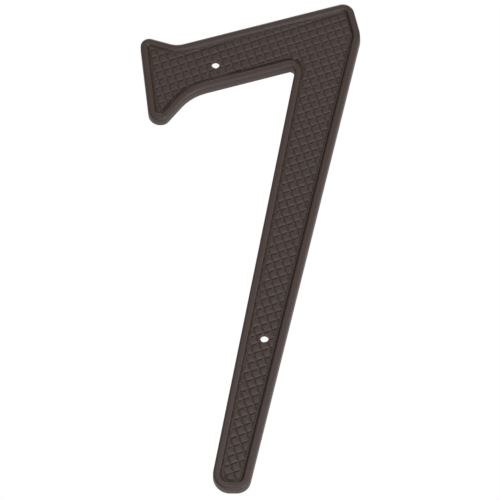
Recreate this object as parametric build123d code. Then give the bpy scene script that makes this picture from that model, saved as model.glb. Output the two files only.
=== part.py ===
from build123d import *

# A nail-on house number, the figure seven, moulded in one piece of dark brown plastic.
# A smooth raised rim follows the outline, and the face inside it is finely checkered.
# The front faces -Y, +Z is up and +X is to the reader's right. Lengths are millimetres.
# The origin is on the axis of the upper nail hole, where the hole opens into the cored back.

import os
from math import cos, hypot, radians, sin, tan

# Whole figure
HEIGHT = 101.6            # lowest point of the foot to highest point of the tip
THICKNESS = 2.5           # wall to crown of the rim
DRAFT = 2.0               # degrees that the outer wall leans in, so that the moulding leaves its mould

# Nail holes
NAIL_HOLE = 1.6           # diameter of both holes
NAIL_DROP = 58.0          # lower hole below the upper one
NAIL_SHIFT = 9.5          # lower hole to the right of the upper one

# Bar across the top, which rises to the right
BAR_RISE = 15.35          # degrees
BAR_OVER_NAIL = 6.1       # upper edge to the upper nail hole
BAR_UNDER_NAIL = 4.65     # lower edge to the upper nail hole

# Stem, which leans to the right and narrows towards its foot
STEM_LEAN = 11.95         # degrees off upright, of its centre line
STEM_TAPER = 2.55         # degrees between its two edges
STEM_WIDTH = 8.55         # across it at the lower nail hole
STEM_OFF_NAIL = 0.3       # its centre line to the left of the lower nail hole

# Tip, where the bar's upper edge turns down into the stem
TIP_SHOULDER = 6.1        # height over the upper nail hole where the stem's edge ends
TIP_LEAN = 13.6           # degrees that the tip leans back to the left

# Serif at the bar's left end
SERIF_REACH = 14.35       # left edge to the upper nail hole, at the hole's height
SERIF_LEAN = 6.8          # degrees that the left edge leans out at its top
SERIF_DROP = 12.15        # lowest edge under the upper nail hole
NECK_REACH = 6.2          # where the bar ends and the serif flares, left of the upper nail hole
HORN_RISE = 16.9          # degrees that the flare rises over the bar
FLANK_DROP = 50.4         # degrees that the flare drops under the bar

# Corners of the outline
HORN_ROUND = 1.75
NECK_TOP_ROUND = 4.5
TIP_ROUND = 2.4
SHOULDER_ROUND = 5.2
FOOT_OUTER_ROUND = 2.7
FOOT_INNER_ROUND = 3.3
CROOK_ROUND = 0.85
NECK_UNDER_ROUND = 9.3
HEEL_ROUND = 2.0
TOE_ROUND = 2.5

# Rim and the plain channel inside it
RIM_WIDTH = 1.3
RIM_SLOPE = 0.35          # how far the rim's inner wall leans out at its root
RIM_EDGE_OUTER = 0.5      # rounding of the rim's outer edge
RIM_EDGE_INNER = 0.35     # rounding of the rim's inner edge
CHANNEL_WIDTH = 0.4
CHANNEL_SUNK = 0.6        # the channel's floor below the rim's crown

# Checkering: square pads between two sets of V grooves
PAD_SUNK = 0.3            # the pads' tops below the rim's crown
PAD_PITCH = 1.64          # pad to pad, the same both ways
CHECK_TURN = 19.4         # degrees that the rows of pads rise to the right
PAD_ALONG = 0.61          # centre of the pad by the upper nail hole, along its row from the hole
PAD_ACROSS = -0.13        # the same, across the row
ROW_GROOVE = 0.72         # width at the pads' tops, of the grooves along the rows
COLUMN_GROOVE = 0.54      # the same, of the grooves across the rows
GROOVE_ANGLE = 112.0      # degrees between a groove's two flanks

# Back, cored out so that the wall is about even
SKIRT = 1.5               # wall left round the edge
SKIN = 1.2                # wall left between the pads' tops and the core
CORE_SLOPE = 0.08         # how far the core's sides lean in at its floor

# Limits of the mould
FINEST_ROUND = 0.1        # no corner of an outline is cut sharper, and no side is shorter
STRAIGHT_SHARE = 0.05     # least share of a side that stays straight between two corners

# Heights over the wall
PAD_TOP = THICKNESS - PAD_SUNK
CHANNEL_FLOOR = THICKNESS - CHANNEL_SUNK
CORE_FLOOR = PAD_TOP - SKIN

NAILS = [(0.0, 0.0), (NAIL_SHIFT, -NAIL_DROP)]


def along(point, heading, run, left=0.0):
    """The point that lies run ahead of a point, and left of it, as seen along a heading in degrees."""
    c, s = cos(radians(heading)), sin(radians(heading))
    return (point[0] + run * c - left * s, point[1] + run * s + left * c)


def crossing(side_a, side_b):
    """Where two straight sides meet. A side is a point on it and its heading in degrees."""
    (ax, ay), a = side_a
    (bx, by), b = side_b
    run = ((bx - ax) * sin(radians(b)) - (by - ay) * cos(radians(b))) / sin(radians(b - a))
    return along((ax, ay), a, run)


def inward(side, inset):
    """A side moved into the figure, which lies to the right of every heading."""
    point, heading = side
    return (along(point, heading, 0.0, -inset), heading)


def figure_sides():
    """The ten straight sides, clockwise, each with the rounding of the corner where it starts."""
    bar_top = (along((0, 0), BAR_RISE, 0.0, BAR_OVER_NAIL), BAR_RISE)
    bar_under = (along((0, 0), BAR_RISE, 0.0, -BAR_UNDER_NAIL), BAR_RISE + 180)
    horn = (along(bar_top[0], BAR_RISE, -NECK_REACH), -HORN_RISE)
    flank = (along(bar_under[0], BAR_RISE, -NECK_REACH), FLANK_DROP + 180)

    stem_up = 90 - STEM_LEAN
    half_taper = STEM_TAPER / 2
    outer_left = STEM_OFF_NAIL - STEM_WIDTH / 2
    inner_left = STEM_OFF_NAIL + STEM_WIDTH / 2
    stem_outer = (along(NAILS[1], stem_up, 0.0, outer_left), stem_up - half_taper + 180)
    stem_inner = (along(NAILS[1], stem_up, 0.0, inner_left), stem_up + half_taper)
    shoulder = crossing(((0, TIP_SHOULDER), 0), stem_outer)
    tip = (shoulder, TIP_LEAN - 90)

    tip_round_centre = crossing(inward(bar_top, TIP_ROUND), inward(tip, TIP_ROUND))
    foot = ((0, tip_round_centre[1] + TIP_ROUND - HEIGHT), 180)

    serif_left = ((-SERIF_REACH, 0), 90 + SERIF_LEAN)
    serif_under = ((0, -SERIF_DROP), 180)
    return [
        (serif_left, TOE_ROUND),
        (horn, HORN_ROUND),
        (bar_top, NECK_TOP_ROUND),
        (tip, TIP_ROUND),
        (stem_outer, SHOULDER_ROUND),
        (foot, FOOT_OUTER_ROUND),
        (stem_inner, FOOT_INNER_ROUND),
        (bar_under, CROOK_ROUND),
        (flank, NECK_UNDER_ROUND),
        (serif_under, HEEL_ROUND),
    ]


def turn_between(side_a, side_b):
    """Degrees turned from one side's heading to the next, positive to the left."""
    return (side_b[1] - side_a[1] + 180) % 360 - 180


def run_of(side, start, end):
    """How far a side runs ahead from its start to its end."""
    heading = radians(side[1])
    return (end[0] - start[0]) * cos(heading) + (end[1] - start[1]) * sin(heading)


def meeting_points(sides):
    """The corners of a ring of sides, each where its side starts, and the runs between them."""
    count = len(sides)
    corners = [crossing(sides[i - 1], sides[i]) for i in range(count)]
    runs = [run_of(sides[i], corners[i], corners[(i + 1) % count]) for i in range(count)]
    return corners, runs


def rounds_that_fit(turns, runs, rounds):
    """Roundings, made smaller where two that share a side would use up all of it."""
    count = len(rounds)
    reach = [rounds[i] * tan(radians(abs(turns[i]) / 2)) for i in range(count)]
    share = [1.0] * count
    for i in range(count):
        after = (i + 1) % count
        fit = (1 - STRAIGHT_SHARE) * runs[i] / (reach[i] + reach[after])
        share[i] = min(share[i], fit)
        share[after] = min(share[after], fit)
    return [rounds[i] * share[i] for i in range(count)]


def figure_rounds(sides, wanted):
    """The corner roundings of the figure's own outline."""
    turns = [turn_between(sides[i - 1], sides[i]) for i in range(len(sides))]
    return rounds_that_fit(turns, meeting_points(sides)[1], wanted)


def sides_left(inset):
    """The sides that aren't used up where the outline is moved inward by inset, and their roundings."""
    sides, wanted = zip(*figure_sides())
    rounds = figure_rounds(sides, wanted)
    sides = list(sides)
    runs = meeting_points([inward(side, inset) for side in sides])[1]
    while min(runs) < FINEST_ROUND:
        used_up = runs.index(min(runs))
        after = (used_up + 1) % len(sides)
        rounds[after] = min(rounds[after], rounds[used_up])
        del sides[used_up]
        del rounds[used_up]
        runs = meeting_points([inward(side, inset) for side in sides])[1]
    return sides, rounds


def ring_of_corners(inset, deepest):
    """Each corner of the outline moved inward by inset: its point, its two headings and its rounding.
    It has the sides that are still there at the deepest inset of its solid."""
    sides, rounds = sides_left(deepest)
    sides = [inward(side, inset) for side in sides]
    corners, runs = meeting_points(sides)
    turns = [turn_between(sides[i - 1], sides[i]) for i in range(len(sides))]
    for i, turn in enumerate(turns):
        grown = inset if turn > 0 else -inset
        rounds[i] = max(rounds[i] + grown, FINEST_ROUND)
    rounds = rounds_that_fit(turns, runs, rounds)
    headings = [side[1] for side in sides]
    return [(corners[i], headings[i - 1], headings[i], rounds[i]) for i in range(len(sides))]


def corner_arc(point, heading_in, heading_out, rounding):
    """The start, middle and end of the arc that rounds a corner."""
    turn = turn_between((point, heading_in), (point, heading_out))
    reach = rounding * tan(radians(abs(turn) / 2))
    sag = rounding / cos(radians(turn / 2)) - rounding
    start = along(point, heading_in, -reach)
    middle = along(point, heading_in + turn / 2, 0.0, sag if turn > 0 else -sag)
    end = along(point, heading_out, reach)
    return start, middle, end


def outline(inset, deepest):
    """The figure's outline, moved inward by inset, as a flat face."""
    arcs = [corner_arc(*corner) for corner in ring_of_corners(inset, deepest)]
    edges = [ThreePointArc(*arc) for arc in arcs]
    for i, arc in enumerate(arcs):
        edges.append(Line(arcs[i - 1][2], arc[0]))
    return make_face(edges)


def tapered(inset_low, low, inset_high, high):
    """A solid between two heights, whose outline changes evenly from one inset to another."""
    deepest = max(inset_low, inset_high)
    lower = Pos(0, 0, low) * outline(inset_low, deepest)
    upper = Pos(0, 0, high) * outline(inset_high, deepest)
    return loft([lower, upper], ruled=True)


def shell():
    """The moulding's outer form, with its rim and channel."""
    lean = tan(radians(DRAFT))
    body = tapered(0.0, 0.0, THICKNESS * lean, THICKNESS)
    well = tapered(RIM_WIDTH + RIM_SLOPE, CHANNEL_FLOOR, RIM_WIDTH, THICKNESS)
    body -= well
    crown = body.faces().sort_by(Axis.Z)[-1]
    body = fillet(crown.outer_wire().edges(), RIM_EDGE_OUTER)
    crown = body.faces().filter_by(Axis.Z).sort_by(Axis.Z)[-1]
    return fillet(crown.inner_wires()[0].edges(), RIM_EDGE_INNER)


def groove(width, length):
    """A V groove along X, open at the pads' tops."""
    spread = tan(radians(GROOVE_ANGLE / 2))
    depth = width / 2 / spread
    over = PAD_TOP + depth
    section = Plane.YZ * Polygon((0, PAD_TOP - depth), (width, over), (-width, over), align=None)
    return Pos(-length / 2, 0, 0) * extrude(section, length)


def grooves(width, heading, pad_across, box):
    """All grooves of one heading over a box. The pad by the upper nail hole lies pad_across from the hole."""
    reach = max(hypot(x, y) for x in (box.min.X, box.max.X) for y in (box.min.Y, box.max.Y))
    cutter = groove(width, 2 * reach)
    first = pad_across + PAD_PITCH / 2
    count = int(reach / PAD_PITCH) + 2
    across = [first + i * PAD_PITCH for i in range(-count, count)]
    return [Rot(0, 0, heading) * Pos(0, offset, 0) * cutter for offset in across]


def checkering():
    """The raised field of square pads, with its foot sunk into the moulding."""
    inset = RIM_WIDTH + RIM_SLOPE + CHANNEL_WIDTH
    field = Pos(0, 0, CORE_FLOOR) * extrude(outline(inset, inset), SKIN)
    box = field.bounding_box()
    field = field.cut(*grooves(ROW_GROOVE, CHECK_TURN, PAD_ACROSS, box))
    return field.cut(*grooves(COLUMN_GROOVE, CHECK_TURN + 90, -PAD_ALONG, box))


def core():
    """The hollow in the back, which leaves a skirt round the edge."""
    return tapered(SKIRT, 0.0, SKIRT + CORE_SLOPE, CORE_FLOOR)


def house_number():
    """The whole moulding, face up on the wall plane."""
    body = shell() + checkering() - core()
    for x, y in NAILS:
        body -= Pos(x, y, THICKNESS / 2) * Cylinder(NAIL_HOLE / 2, 2 * THICKNESS)
    return body


os.makedirs("parts", exist_ok=True)
seven = Pos(0, CORE_FLOOR, 0) * Plane.XZ.location * house_number()
export_step(seven, "parts/figure_seven.step")
print("figure_seven", seven.bounding_box(), "volume", round(seven.volume, 1))
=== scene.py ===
# %% [markdown]
# A nail-on house number, the figure seven, moulded in one piece of dark brown plastic. A smooth raised
# rim follows its outline, the face inside the rim is finely checkered, and the back is hollow. The packed
# model is the fixed frame of this scene. It says where the moulding is and how large it is, and the finer
# moulding that is made here takes its place. Blender works in metres and a mould maker in millimetres, so
# the sizes below are millimetres, and one value turns them into metres.

# %% The frame
from math import ceil, cos, pi, radians, sin, tan

import bmesh
import bpy
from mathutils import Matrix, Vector
from mathutils.geometry import delaunay_2d_cdt


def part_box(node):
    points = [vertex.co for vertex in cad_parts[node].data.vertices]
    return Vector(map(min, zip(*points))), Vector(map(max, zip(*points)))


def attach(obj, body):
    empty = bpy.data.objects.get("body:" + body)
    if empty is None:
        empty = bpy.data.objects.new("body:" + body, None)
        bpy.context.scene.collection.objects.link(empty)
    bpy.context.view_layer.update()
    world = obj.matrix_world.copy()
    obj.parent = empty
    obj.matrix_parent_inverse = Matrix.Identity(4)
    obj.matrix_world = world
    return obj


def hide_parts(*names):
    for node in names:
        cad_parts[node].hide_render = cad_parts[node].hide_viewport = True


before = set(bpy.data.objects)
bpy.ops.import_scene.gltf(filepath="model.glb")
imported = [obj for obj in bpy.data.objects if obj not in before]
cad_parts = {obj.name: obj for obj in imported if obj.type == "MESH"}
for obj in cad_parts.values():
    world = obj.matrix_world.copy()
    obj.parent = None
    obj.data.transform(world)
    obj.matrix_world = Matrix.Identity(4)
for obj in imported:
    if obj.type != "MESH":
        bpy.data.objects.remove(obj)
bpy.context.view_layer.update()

MM = 0.001
low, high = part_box("figure_seven")
print("moulding, mm:", [round(side / MM, 2) for side in high - low])

# %% [markdown]
# The figure's outline is ten straight sides with rounded corners. It could be drawn as one curve through
# many points. But a designer sets the bar's rise, the stem's lean and taper and the serif's flare, and
# lets the corners fall where the sides cross, and the same is done here. Each side is a point and a
# heading. The sides are taken clockwise, so the figure always lies to their right. Places are measured
# from the two nail holes, and the upper one is the origin, with x to the reader's right and z up.

# %% The figure's sizes, in millimetres and degrees
HEIGHT = 101.6                              # foot to tip, a four-inch figure
NAIL_DROP, NAIL_SHIFT = 58.0, 9.5           # the lower nail hole, under the upper one and to its right
BAR_RISE = 15.35                            # how steeply the bar rises to the right
BAR_OVER_NAIL, BAR_UNDER_NAIL = 6.1, 4.65   # the bar's two edges, from the upper nail hole
STEM_LEAN, STEM_TAPER = 11.95, 2.55         # off upright, and between the stem's two edges
STEM_WIDTH, STEM_OFF_NAIL = 8.55, 0.3       # across it at the lower nail hole, and its middle left of that
TIP_SHOULDER, TIP_LEAN = 6.1, 13.6          # where the tip's side leaves the stem's, and how far it leans
SERIF_REACH, SERIF_LEAN = 14.35, 6.8        # the serif's left edge, and how far it leans out at its top
SERIF_DROP = 12.15                          # its lowest edge, under the upper nail hole
NECK_REACH = 6.2                            # where the bar ends and the serif flares
HORN_RISE, FLANK_DROP = 16.9, 50.4          # how steeply it flares, over the bar and under it
ROUNDS = {"toe": 2.5, "horn": 1.75, "neck_top": 4.5, "tip": 2.4, "shoulder": 5.2, "foot_outer": 2.7,
          "foot_inner": 3.3, "crook": 0.85, "neck_under": 9.3, "heel": 2.0}
print("rounded corners:", len(ROUNDS), "from", min(ROUNDS.values()), "to", max(ROUNDS.values()), "mm")


# %% Points and headings
def along(point, heading, run, left=0.0):
    """The point run ahead of a point and left of it, along a heading in degrees."""
    c, s = cos(radians(heading)), sin(radians(heading))
    return (point[0] + run * c - left * s, point[1] + run * s + left * c)


def crossing(side_a, side_b):
    """Where two straight sides meet. A side is a point on it and its heading."""
    (ax, az), a = side_a
    (bx, bz), b = side_b
    run = ((bx - ax) * sin(radians(b)) - (bz - az) * cos(radians(b))) / sin(radians(b - a))
    return along((ax, az), a, run)


def inward(side, inset):
    """A side moved to its right, which is into the figure."""
    return (along(side[0], side[1], 0.0, -inset), side[1])


print("10 mm up the bar:", [round(share, 2) for share in along((0, 0), BAR_RISE, 10)])


# %% The ten sides
def figure_sides():
    """The sides, clockwise from the serif's left edge, each with the name of the corner where it starts."""
    lower_nail = (NAIL_SHIFT, -NAIL_DROP)
    bar_top = (along((0, 0), BAR_RISE, 0.0, BAR_OVER_NAIL), BAR_RISE)
    bar_under = (along((0, 0), BAR_RISE, 0.0, -BAR_UNDER_NAIL), BAR_RISE + 180)
    horn = (along(bar_top[0], BAR_RISE, -NECK_REACH), -HORN_RISE)
    flank = (along(bar_under[0], BAR_RISE, -NECK_REACH), FLANK_DROP + 180)
    up = 90 - STEM_LEAN
    stem_outer = (along(lower_nail, up, 0.0, STEM_OFF_NAIL - STEM_WIDTH / 2), up - STEM_TAPER / 2 + 180)
    stem_inner = (along(lower_nail, up, 0.0, STEM_OFF_NAIL + STEM_WIDTH / 2), up + STEM_TAPER / 2)
    tip = (crossing(((0, TIP_SHOULDER), 0), stem_outer), TIP_LEAN - 90)
    tip_centre = crossing(inward(bar_top, ROUNDS["tip"]), inward(tip, ROUNDS["tip"]))
    foot = ((0, tip_centre[1] + ROUNDS["tip"] - HEIGHT), 180)
    serif_left = ((-SERIF_REACH, 0), 90 + SERIF_LEAN)
    serif_under = ((0, -SERIF_DROP), 180)
    return [(serif_left, "toe"), (horn, "horn"), (bar_top, "neck_top"), (tip, "tip"),
            (stem_outer, "shoulder"), (foot, "foot_outer"), (stem_inner, "foot_inner"),
            (bar_under, "crook"), (flank, "neck_under"), (serif_under, "heel")]


SIDES = figure_sides()
TURNS = [(SIDES[i][0][1] - SIDES[i - 1][0][1] + 180) % 360 - 180 for i in range(len(SIDES))]
print("turn at each corner:", {name: round(turn, 1) for (side, name), turn in zip(SIDES, TURNS)})

# %% [markdown]
# The rim, its channel and the checkered field all follow the outline, each a little further in. Scaling
# the outline would leave the rim wider in one place than in another. So each side is moved into the
# figure and cut with its neighbours again. The roundings change with it, as they do on the real rim:
# they shrink at the corners that point outward and grow at those that point inward, such as the crook.
# Where a side becomes too short for the roundings at its two ends, both are made smaller. Every ring is
# given the same number of points, so that faces can join one ring to the next, point by point.

# %% Corners and their roundings
FINEST_ROUND = 0.1      # millimetres, the least rounding where the sides leave room for it
MOST_ROUNDED = 0.95     # the largest share of a side that its two roundings may use up


def reach_of(i, rounding):
    """How much of a side the rounding of corner i uses up."""
    return rounding * tan(radians(abs(TURNS[i]) / 2))


def corner_rounds(inset):
    """The corners of the outline moved inward, and their roundings."""
    sides = [inward(side, inset) for side, name in SIDES]
    corners = [crossing(sides[i - 1], sides[i]) for i in range(len(sides))]
    rounds = []
    for (side, name), turn in zip(SIDES, TURNS):
        rounds.append(max(ROUNDS[name] + (inset if turn > 0 else -inset), FINEST_ROUND))
    for i in range(len(sides)):
        after = (i + 1) % len(sides)
        run = (Vector(corners[after]) - Vector(corners[i])).length
        share = MOST_ROUNDED * run / (reach_of(i, rounds[i]) + reach_of(after, rounds[after]))
        if share < 1:
            rounds[i] *= share
            rounds[after] *= share
    return corners, rounds


print("roundings, mm:", [round(rounding, 2) for rounding in corner_rounds(0.0)[1]])

# %% Points round the outline
ARC_STEP = 7.5          # degrees of a rounding between two points
LINE_STEP = 1.2         # millimetres of a straight side between two points


def side_counts():
    """How many steps each straight side is cut into, the same for every ring."""
    corners, rounds = corner_rounds(0.0)
    counts = []
    for i in range(len(corners)):
        after = (i + 1) % len(corners)
        run = (Vector(corners[after]) - Vector(corners[i])).length
        run -= reach_of(i, rounds[i]) + reach_of(after, rounds[after])
        counts.append(max(1, round(run / LINE_STEP)))
    return counts


SIDE_COUNTS = side_counts()


def ring(inset):
    """Points round the outline, moved inward by inset."""
    corners, rounds = corner_rounds(inset)
    points = []
    for i, (corner, rounding) in enumerate(zip(corners, rounds)):
        heading_in = SIDES[i - 1][0][1]
        way = 1 if TURNS[i] > 0 else -1
        start = along(corner, heading_in, -reach_of(i, rounding))
        centre = along(start, heading_in, 0.0, way * rounding)
        steps = ceil(abs(TURNS[i]) / ARC_STEP)
        for step in range(steps + 1):
            points.append(along(centre, heading_in + TURNS[i] * step / steps, 0.0, -way * rounding))
        end = points[-1]
        after = (i + 1) % len(corners)
        next_start = along(corners[after], SIDES[i][0][1], -reach_of(after, rounds[after]))
        for step in range(1, SIDE_COUNTS[i]):
            share = step / SIDE_COUNTS[i]
            points.append(tuple(a + (b - a) * share for a, b in zip(end, next_start)))
    return points


outline_points = ring(0.0)
print("outline:", len(outline_points), "points, height",
      round(max(z for x, z in outline_points) - min(z for x, z in outline_points), 2), "mm")

# %% [markdown]
# The rim, the outer wall and the hollow back have the same section all round, so the moulding is a sweep.
# The section is a list of insets from the outline with their heights over the wall, and each of them
# becomes one ring. A bevelled curve would be quicker, but it folds over itself in the tight corners of
# the serif. Rings cut from the moved outline stay even, and the faces between them give the rim a clean
# highlight. The edges of the rim and the skirt are rounded on the real figure, so each is an arc here.
# The outer wall leans in by its draft, without which the moulding would stick in the mould.

# %% The section's sizes, in millimetres and degrees
THICKNESS = 2.5                             # wall to crown of the rim
DRAFT = 2.0                                 # how far the outer wall leans in
RIM_WIDTH, RIM_SLOPE = 1.3, 0.35            # the rim, and how far its inner wall leans out at its root
RIM_EDGE_OUTER, RIM_EDGE_INNER = 0.5, 0.35  # roundings of the rim's two edges
CHANNEL_WIDTH, CHANNEL_SUNK = 0.4, 0.6      # the channel inside the rim, and its floor under the crown
CHANNEL_ROOT = 0.15                         # rounding where the rim meets the channel's floor
PAD_SUNK = 0.3                              # the pads' tops under the crown
SKIRT, SKIN = 1.5, 1.2                      # wall left round the edge, and behind the pads
CORE_SLOPE = 0.08                           # how far the hollow's sides lean in at its floor
BACK_EDGE = 0.08                            # rounding of the skirt's two edges
BACK_STEPS, OUTER_STEPS, INNER_STEPS, ROOT_STEPS = 2, 7, 5, 3    # faces over each of these roundings

CHANNEL_FLOOR = THICKNESS - CHANNEL_SUNK
PAD_TOP = THICKNESS - PAD_SUNK
CORE_FLOOR = PAD_TOP - SKIN
print("heights over the wall, mm: hollow", round(CORE_FLOOR, 2), "channel", round(CHANNEL_FLOOR, 2),
      "pads", round(PAD_TOP, 2), "rim", THICKNESS)


# %% Rounding an edge of the section
def rounded_corner(before, corner, after, rounding, steps):
    """Points of the arc that rounds a corner of the section."""
    corner = Vector(corner)
    back = (Vector(before) - corner).normalized()
    ahead = (Vector(after) - corner).normalized()
    half = back.angle(ahead) / 2
    centre = corner + (back + ahead).normalized() * (rounding / sin(half))
    start = corner + back * (rounding / tan(half)) - centre
    turn = start.angle_signed(corner + ahead * (rounding / tan(half)) - centre)
    points = []
    for step in range(steps + 1):
        angle = -turn * step / steps
        points.append((centre.x + start.x * cos(angle) - start.y * sin(angle),
                       centre.y + start.x * sin(angle) + start.y * cos(angle)))
    return points


# %% The section of the rim
def rim_section():
    """Inset and height of each ring, from the hollow's floor round the skirt and over the rim."""
    lean = THICKNESS * tan(radians(DRAFT))
    core_top, core_foot = (SKIRT + CORE_SLOPE, CORE_FLOOR), (SKIRT, 0.0)
    outer_foot, outer_top = (0.0, 0.0), (lean, THICKNESS)
    crown_end = (RIM_WIDTH, THICKNESS)
    slope_foot = (RIM_WIDTH + RIM_SLOPE, CHANNEL_FLOOR)
    channel_end = (RIM_WIDTH + RIM_SLOPE + CHANNEL_WIDTH, CHANNEL_FLOOR)
    section = [core_top]
    section += rounded_corner(core_top, core_foot, outer_foot, BACK_EDGE, BACK_STEPS)
    section += rounded_corner(core_foot, outer_foot, outer_top, BACK_EDGE, BACK_STEPS)
    section += rounded_corner(outer_foot, outer_top, crown_end, RIM_EDGE_OUTER, OUTER_STEPS)
    section += rounded_corner(outer_top, crown_end, slope_foot, RIM_EDGE_INNER, INNER_STEPS)
    section += rounded_corner(crown_end, slope_foot, channel_end, CHANNEL_ROOT, ROOT_STEPS)
    return section


SECTION = rim_section()
print("section:", len(SECTION), "rings, from", [round(part, 2) for part in SECTION[0]],
      "to", [round(part, 2) for part in SECTION[-1]])


# %% Sweeping the section
def in_frame(point, height):
    """A point of the figure at a height over the wall, in the frame's metres."""
    return Vector((point[0], CORE_FLOOR - height, point[1])) * MM


def loop_of(bm, verts):
    """The closed loop of edges through some vertices, made where it is missing."""
    pairs = zip(verts, verts[1:] + verts[:1])
    return [bm.edges.get(pair) or bm.edges.new(pair) for pair in pairs]


def sweep(bm):
    """The rim, the outer wall and the hollow's wall. Gives their first and last loops of edges."""
    rings = [[bm.verts.new(in_frame(point, height)) for point in ring(inset)] for inset, height in SECTION]
    count = len(rings[0])
    for inner, outer in zip(rings, rings[1:]):
        for i in range(count):
            j = (i + 1) % count
            bm.faces.new((inner[i], inner[j], outer[j], outer[i]))
    return loop_of(bm, rings[0]), loop_of(bm, rings[-1])


print("the sweep has", (len(SECTION) - 1) * len(outline_points), "faces")

# %% [markdown]
# The face is checkered with small, nearly square pads between two sets of grooves. Their rows rise to
# the right at an angle of their own. A toolmaker mills such grooves in two directions into an electrode,
# which then sinks the pattern into the mould. A displacement map on an even grid would lose the crisp
# grooves between its points. So the grid is laid along the rows, with its lines close together in the
# grooves and wide apart on the pads, and each point's height comes from its distance to the nearest
# grooves. The grooves' bottoms are rounded, the pads are slightly crowned, and a crossing is a little
# deeper than either groove, because plastic does not fill a mould's finest edges.

# %% The checkering's sizes, in millimetres and degrees
PAD_PITCH, CHECK_TURN = 1.64, 19.4          # pad to pad, and how steeply the rows rise
PAD_ALONG, PAD_ACROSS = 0.61, -0.13         # the pad by the upper nail hole, from the hole to its centre
ROW_GROOVE, ROW_DEPTH = 0.72, 0.24          # the grooves along the rows
COLUMN_GROOVE, COLUMN_DEPTH = 0.54, 0.13    # the grooves across them
PAD_CROWN = 0.03                            # how far a pad's middle stands over its sides
CROSSING_POWER = 3                          # 1 would add up two grooves that cross, more keeps the deeper
CELL_LINES = [0.0, 0.06, 0.13, 0.21, 0.33, 0.5, 0.67, 0.79, 0.87, 0.94]     # shares of a cell
FIELD_INSET = RIM_WIDTH + RIM_SLOPE + CHANNEL_WIDTH
print("pads of", round(PAD_PITCH - COLUMN_GROOVE, 2), "by", round(PAD_PITCH - ROW_GROOVE, 2), "mm")


# %% Cells of the checkering
def lattice_point(i, j):
    """The figure's point at i cells along the rows and j across. Cell 0, 0 has the pad by the upper hole."""
    u, v = (i - 0.5) * PAD_PITCH + PAD_ALONG, (j - 0.5) * PAD_PITCH + PAD_ACROSS
    return along((0.0, 0.0), CHECK_TURN, u, v)


def cell_of(point):
    """The reverse of lattice_point."""
    u, v = along((0.0, 0.0), -CHECK_TURN, point[0], point[1])
    return (u - PAD_ALONG) / PAD_PITCH + 0.5, (v - PAD_ACROSS) / PAD_PITCH + 0.5


print("the upper nail hole's cell:", [round(share, 2) for share in cell_of((0.0, 0.0))])


# %% The checkering's height
def groove_share(share, width):
    """How deep a point lies in a groove, from 1 at its middle to 0 on the pad. share is within a cell."""
    away = min(share, 1 - share) * PAD_PITCH / (width / 2)
    if away >= 1:
        return 0.0
    return 1 - away * away * (3 - 2 * away)


def pad_height(point):
    """Height of the checkering over the wall, at a point of the figure."""
    along_row, across_row = cell_of(point)
    u, v = along_row % 1.0, across_row % 1.0
    row, column = groove_share(v, ROW_GROOVE), groove_share(u, COLUMN_GROOVE)
    powers = (ROW_DEPTH * row) ** CROSSING_POWER + (COLUMN_DEPTH * column) ** CROSSING_POWER
    depth = powers ** (1 / CROSSING_POWER)
    crown = PAD_CROWN * sin(pi * u) * sin(pi * v)
    return PAD_TOP - PAD_CROWN + crown - depth


print("pad, groove and crossing, mm over the wall:",
      [round(pad_height(lattice_point(i, j)), 2) for i, j in ((0.5, 0.5), (0.5, 0.0), (0.0, 0.0))])

# %% [markdown]
# Two plain round holes take the nails, one through the bar and one low in the stem. A boolean could drill
# them and cut the field to its border, but on a mesh this fine it is slow and leaves slivers. So the
# field is cut while it is still flat: a triangulation that keeps given edges takes the grid's lines, the
# border and the two circles together, and says of each face which of those loops it lies in. What lies in
# the border alone is the field.

# %% The nail holes
NAIL_HOLE = 1.6         # diameter, in millimetres
HOLE_STEPS = 48         # points round each hole
NAILS = [(0.0, 0.0), (NAIL_SHIFT, -NAIL_DROP)]
holes = []
for nail in NAILS:
    holes.append([along(nail, 360 * step / HOLE_STEPS, NAIL_HOLE / 2) for step in range(HOLE_STEPS)])
print("nail holes:", NAILS)


# %% The grid's lines over the figure
def inside(point, outline):
    """Whether a point of the figure lies within a closed outline."""
    x, z = point
    found = False
    for (ax, az), (bx, bz) in zip(outline, outline[1:] + outline[:1]):
        if (az > z) != (bz > z) and x < ax + (z - az) * (bx - ax) / (bz - az):
            found = not found
    return found


def grid_over(outline):
    """Points and edges of the cells' lines, over all cells that lie in an outline and those round them."""
    cells = set()
    reach = int(HEIGHT / PAD_PITCH)
    steps = len(CELL_LINES)
    for i in range(-reach, reach):
        for j in range(-reach, reach):
            if any(inside(lattice_point(i + a, j + b), outline) for a in (0, 0.5, 1) for b in (0, 0.5, 1)):
                cells.update((i + a, j + b) for a in (-1, 0, 1) for b in (-1, 0, 1))
    index, points, edges = {}, [], set()

    def at(a, b):
        if (a, b) not in index:
            index[a, b] = len(points)
            i, j = a // steps + CELL_LINES[a % steps], b // steps + CELL_LINES[b % steps]
            points.append(lattice_point(i, j))
        return index[a, b]

    for i, j in sorted(cells):
        for a in range(i * steps, (i + 1) * steps):
            for b in range(j * steps, (j + 1) * steps):
                edges.update(((at(a, b), at(a + 1, b)), (at(a, b), at(a, b + 1))))
    return points, sorted(edges)


border = ring(FIELD_INSET)[::-1]
grid_points, grid_edges = grid_over(border)
print("grid:", len(grid_points), "points,", len(grid_edges), "edges")

# %% Cutting the flat field
KEEP_EDGES = 4          # the kind of result that keeps the given edges and makes faces fit for a mesh
CUT_ROUNDING = 0.01     # millimetres, below which two points become one


def cut_field():
    """The flat field, as points and faces, cut to its border and to the nail holes."""
    points, loops = list(grid_points), []
    for outline in [border] + holes:
        loops.append(list(range(len(points), len(points) + len(outline))))
        points += outline
    made = delaunay_2d_cdt([Vector(point) for point in points], grid_edges, loops, KEEP_EDGES, CUT_ROUNDING)
    made_points, made_faces, face_loops = made[0], made[2], made[5]
    return made_points, [face for face, around in zip(made_faces, face_loops) if around == [0]]


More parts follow.
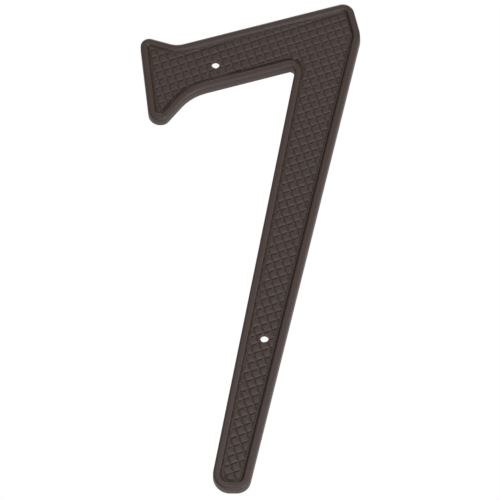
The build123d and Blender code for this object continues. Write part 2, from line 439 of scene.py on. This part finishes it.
field_points, field_faces = cut_field()
print("field:", len(field_points), "points,", len(field_faces), "faces")

# %% [markdown]
# The real figure is one piece of plastic, so its mesh is one closed skin. The flat field is raised to the
# height of its pads. Walls go down from its border to the channel's floor, and from the holes to the
# hollow's floor. Two fills close what is left: the channel's floor between that wall and the rim, and the
# hollow's floor round the holes. Each of them grows from the edges of the one before, so no boolean is
# needed, and the print shows that no edge is left open.


# %% Raising the field
def raise_field(bm):
    """The checkered face. Gives the edges of its border and those round the nail holes."""
    verts = {}
    for face in field_faces:
        for i in face:
            if i not in verts:
                verts[i] = bm.verts.new(in_frame(field_points[i], pad_height(field_points[i])))
        bm.faces.new([verts[i] for i in face])
    # Where the border passes close to a line of the grid, the cut leaves two points almost in one place
    bmesh.ops.remove_doubles(bm, verts=bm.verts, dist=CUT_ROUNDING * MM)
    open_edges = [edge for edge in bm.edges if edge.is_boundary]
    centres = [in_frame(nail, PAD_TOP) for nail in NAILS]
    border_edges, hole_edges = [], []
    for edge in open_edges:
        away = min((edge.verts[0].co - centre).length for centre in centres)
        if away < NAIL_HOLE * MM:
            hole_edges.append(edge)
        else:
            border_edges.append(edge)
    return border_edges, hole_edges


def wall_down(bm, edges, height):
    """Walls from a loop of edges down to a height over the wall plane. Gives the lower loop."""
    made = bmesh.ops.extrude_edge_only(bm, edges=edges)["geom"]
    for vert in [item for item in made if isinstance(item, bmesh.types.BMVert)]:
        vert.co.y = (CORE_FLOOR - height) * MM
    return [item for item in made if isinstance(item, bmesh.types.BMEdge) and item.is_boundary]


# %% The moulding
def build_moulding():
    """The whole moulding as one closed mesh, in an object of its own."""
    bm = bmesh.new()
    border_edges, hole_edges = raise_field(bm)
    field_foot = wall_down(bm, border_edges, CHANNEL_FLOOR)
    hole_foot = wall_down(bm, hole_edges, CORE_FLOOR)
    core_loop, channel_loop = sweep(bm)
    bmesh.ops.triangle_fill(bm, use_beauty=True, edges=field_foot + channel_loop)
    bmesh.ops.triangle_fill(bm, use_beauty=True, edges=hole_foot + core_loop)
    bmesh.ops.recalc_face_normals(bm, faces=bm.faces)
    print("open or doubled edges:", sum(not edge.is_manifold for edge in bm.edges))
    mesh = bpy.data.meshes.new("figure_seven_moulding")
    bm.to_mesh(mesh)
    bm.free()
    piece = bpy.data.objects.new("figure_seven_moulding", mesh)
    bpy.context.scene.collection.objects.link(piece)
    return piece


moulding = build_moulding()
print("moulding:", len(moulding.data.polygons), "faces,", len(moulding.data.loops), "corners")

# %% [markdown]
# The roundings are made of many narrow faces, and smooth shading blends these into one curve. The rims of
# the nail holes, the border of the field and the corners of the hollow are far sharper than that, so an
# edge stays sharp where its faces meet at more than the angle below. A bevel modifier could round those
# edges too, but at this size nobody would see it.

# %% Smooth faces and sharp edges
SMOOTH_BELOW = 32       # degrees between two faces
moulding.data.polygons.foreach_set("use_smooth", [True] * len(moulding.data.polygons))
moulding.data.set_sharp_from_angle(angle=radians(SMOOTH_BELOW))
moulding.data.update()
print("sharp edges:", sum(edge.use_edge_sharp for edge in moulding.data.edges))

# %% [markdown]
# Node trees are easier to read when each node is one line. This helper adds a node, sets what is given
# by name, and links its inputs. A value is set on the socket, and a socket of another node is linked to
# it. Colours are written as sRGB hex, as a colour picker gives them, and one function turns them into the
# linear values that the renderer works in.


# %% Helpers for materials
def add_node(tree, kind, settings=None, **sockets):
    """A node with its settings, and each input set to a value or linked to another node's output."""
    node = tree.nodes.new(kind)
    for name, value in (settings or {}).items():
        setattr(node, name, value)
    for name, value in sockets.items():
        socket = node.inputs[name.replace("_", " ")]
        if isinstance(value, bpy.types.NodeSocket):
            tree.links.new(value, socket)
        else:
            socket.default_value = value
    return node


def linear(hex_colour):
    """An sRGB hex colour as linear red, green, blue and alpha."""
    channels = []
    for start in (1, 3, 5):
        share = int(hex_colour[start:start + 2], 16) / 255
        channels.append(share / 12.92 if share <= 0.04045 else ((share + 0.055) / 1.055) ** 2.4)
    return (*channels, 1.0)


PLASTIC_BROWN = linear("#33241D")
print("dark brown:", [round(channel, 3) for channel in PLASTIC_BROWN])

# %% [markdown]
# The figure is taken to be polypropylene, injection moulded and coloured right through, because that is
# a tough plastic that takes a nail without splitting. The steel of such a mould has a fine spark-eroded
# grain, and the plastic copies it. So the eye sees a satin surface: no mirror, but a soft, broad
# highlight along the rim. The grain could be a picture or fine geometry, but the first would need an
# image and the second millions of faces, and a noise that moves only the normal does as well. Such a
# grain is finer than a tenth of a millimetre, which no view here would show, so it is drawn coarser.

# %% Moulded polypropylene
GRAIN = 0.25            # millimetres across one grain, drawn coarser than real
GRAIN_HEIGHT = 0.01     # millimetres from its valleys to its tops
GRAIN_STRENGTH = 0.15   # how much of that height the shading shows
GRAIN_DETAIL = 3.0      # finer layers of noise within a grain
PLASTIC_IOR = 1.49      # typical of polypropylene
PLASTIC_ROUGHNESS = 0.4     # typical of a fine moulded satin, and as broad a highlight as the rim shows


def moulded_plastic():
    """Dark brown polypropylene with a fine moulded grain."""
    material = bpy.data.materials.new("moulded_polypropylene_dark_brown")
    material.use_nodes = True
    tree = material.node_tree
    tree.nodes.clear()
    where = add_node(tree, "ShaderNodeTexCoord")
    grain = add_node(tree, "ShaderNodeTexNoise", Vector=where.outputs["Object"], Scale=1 / (GRAIN * MM),
                     Detail=GRAIN_DETAIL)
    bump = add_node(tree, "ShaderNodeBump", Strength=GRAIN_STRENGTH, Distance=GRAIN_HEIGHT * MM,
                    Height=grain.outputs["Fac"])
    shader = add_node(tree, "ShaderNodeBsdfPrincipled", Base_Color=PLASTIC_BROWN, Roughness=PLASTIC_ROUGHNESS,
                      IOR=PLASTIC_IOR, Normal=bump.outputs["Normal"])
    add_node(tree, "ShaderNodeOutputMaterial", Surface=shader.outputs["BSDF"])
    return material


plastic = moulded_plastic()
moulding.data.materials.clear()
moulding.data.materials.append(plastic)
print("material:", plastic.name)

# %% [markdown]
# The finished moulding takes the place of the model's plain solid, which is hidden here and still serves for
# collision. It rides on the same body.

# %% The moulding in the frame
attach(moulding, "root")
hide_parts("figure_seven")
print(moulding.name, "replaces figure_seven")

# %% [markdown]
# The figure is shown as a seller shows it, on plain white in soft light. A tent of white cloth lights it
# evenly from all round. A tent bright enough to come out white would wash out the dark plastic. So the
# camera's own rays see the tent and the floor as plain white, while the plastic is lit by them at the
# strength that suits it. Light Path tells the two kinds of ray apart, and it does so from every side.

# %% White to the camera
WHITE = linear("#FFFFFF")


def white_to_camera(tree, kind, lit):
    """A shader that the camera sees as plain white, and that all other rays see as lit."""
    ray = add_node(tree, "ShaderNodeLightPath")
    plain = add_node(tree, kind, Color=WHITE, Strength=1.0)
    mix = add_node(tree, "ShaderNodeMixShader", Fac=ray.outputs["Is Camera Ray"])
    # The two shader inputs of a mix have the same name, so they are told apart by their order
    tree.links.new(lit.outputs[0], mix.inputs[1])
    tree.links.new(plain.outputs[0], mix.inputs[2])
    return mix.outputs[0]


# %% The tent
TENT_STRENGTH = 0.6
world = bpy.data.worlds.new("white_tent")
bpy.context.scene.world = world
world.use_nodes = True
world.node_tree.nodes.clear()
cloth = add_node(world.node_tree, "ShaderNodeBackground", Color=WHITE, Strength=TENT_STRENGTH)
tent = white_to_camera(world.node_tree, "ShaderNodeBackground", cloth)
add_node(world.node_tree, "ShaderNodeOutputWorld", Surface=tent)
bpy.context.scene.view_settings.view_transform = "Standard"
print("tent:", TENT_STRENGTH, "of the backdrop's white")

# %% [markdown]
# A floor in matt white wall paint lies below the figure, and below the lowest of the soft boxes, so that
# it hides none of their light. The paint is rough all over and shows no reflection, so a plain plane is
# all that it needs.

# %% The floor
FLOOR_DROP = 900 * MM
FLOOR_SIDE = 8.0        # metres
PAINT_ROUGHNESS = 0.9
bpy.ops.mesh.primitive_plane_add(size=FLOOR_SIDE, location=(0, 0, low.z - FLOOR_DROP))
floor = bpy.context.object
floor.name = "floor"
floor_paint = bpy.data.materials.new("matt_white_paint")
floor_paint.use_nodes = True
floor_tree = floor_paint.node_tree
floor_tree.nodes.clear()
paint = add_node(floor_tree, "ShaderNodeBsdfPrincipled", Base_Color=linear("#F2F1EF"),
                 Roughness=PAINT_ROUGHNESS)
painted = white_to_camera(floor_tree, "ShaderNodeEmission", paint)
add_node(floor_tree, "ShaderNodeOutputMaterial", Surface=painted)
floor.data.materials.append(floor_paint)
print("floor:", round(FLOOR_DROP / MM), "mm below the figure")

# %% [markdown]
# A tent alone makes a dark moulding look flat. Large soft boxes give its rim a light side and a shaded
# side. Each is a square lamp that faces the middle of the figure, and is so large against it that no
# highlight has a hard edge. The strongest stands low on the right, where the camera sees the outer wall.
# The others keep the rest of the rim about as light as it is in the photograph.

# %% Soft boxes
SOFTBOX_SIDE = 0.5      # metres
SOFTBOX_AWAY = 0.9      # metres, from the middle of the figure
SOFTBOXES = {           # the way to each from the figure, and its watts
    "right_softbox": ((0.87, -0.5, 0.0), 2.0),
    "low_right_softbox": ((0.66, -0.3, -0.69), 3.9),
    "front_softbox": ((0.0, -1.0, 0.0), 1.6),
    "low_softbox": ((0.0, -0.3, -0.95), 1.3),
    "top_softbox": ((0.0, -0.1, 0.99), 2.8),
}


def softbox(name, position, aim, watts):
    """A square lamp at a position, turned to face a point."""
    data = bpy.data.lights.new(name, "AREA")
    data.size = SOFTBOX_SIDE
    data.energy = watts
    lamp = bpy.data.objects.new(name, data)
    lamp.location = position
    lamp.rotation_euler = (aim - position).to_track_quat("-Z", "Y").to_euler()
    bpy.context.scene.collection.objects.link(lamp)


middle = (low + high) / 2
for name, (way, watts) in SOFTBOXES.items():
    softbox(name, middle + Vector(way) * SOFTBOX_AWAY, middle, watts)
print("soft boxes, watts:", {name: watts for name, (way, watts) in SOFTBOXES.items()})

# %% [markdown]
# The camera looks up at the figure, as it does in the photograph, where the side walls under the bar and
# at the foot show and those on top do not. How wide they look gives the tilt. A long lens from 0.7 m away
# draws near and far parts at almost the same scale, as in product photography. A short lens close by
# would fill the frame as well, but the foot would come out too large.

# %% The camera
VIEW_TILT = radians(23.49)      # from square, looking up
VIEW_TURN = radians(-0.9)       # from square, looking to the left
FRAME_PIXELS = 500
FOCAL_PIXELS = 3652.0           # the lens's focal length, in pixels of that frame
MM_PER_PIXEL = 0.19165          # at the point that the camera looks at
VIEW_MIDDLE = Vector((6.78, CORE_FLOOR - THICKNESS, -39.89)) * MM     # that point, level with the crown
SENSOR = 36.0                   # millimetres across

forward = Vector((sin(VIEW_TURN) * cos(VIEW_TILT), cos(VIEW_TURN) * cos(VIEW_TILT), sin(VIEW_TILT)))
camera_data = bpy.data.cameras.new("camera")
camera_data.sensor_width = SENSOR
camera_data.lens = FOCAL_PIXELS / FRAME_PIXELS * SENSOR
camera = bpy.data.objects.new("camera", camera_data)
camera.location = VIEW_MIDDLE - forward * FOCAL_PIXELS * MM_PER_PIXEL * MM
camera.rotation_euler = forward.to_track_quat("-Z", "Y").to_euler()
bpy.context.scene.collection.objects.link(camera)
bpy.context.scene.camera = camera
print("lens:", round(camera_data.lens), "mm, from", round((camera.location - VIEW_MIDDLE).length, 2), "m")
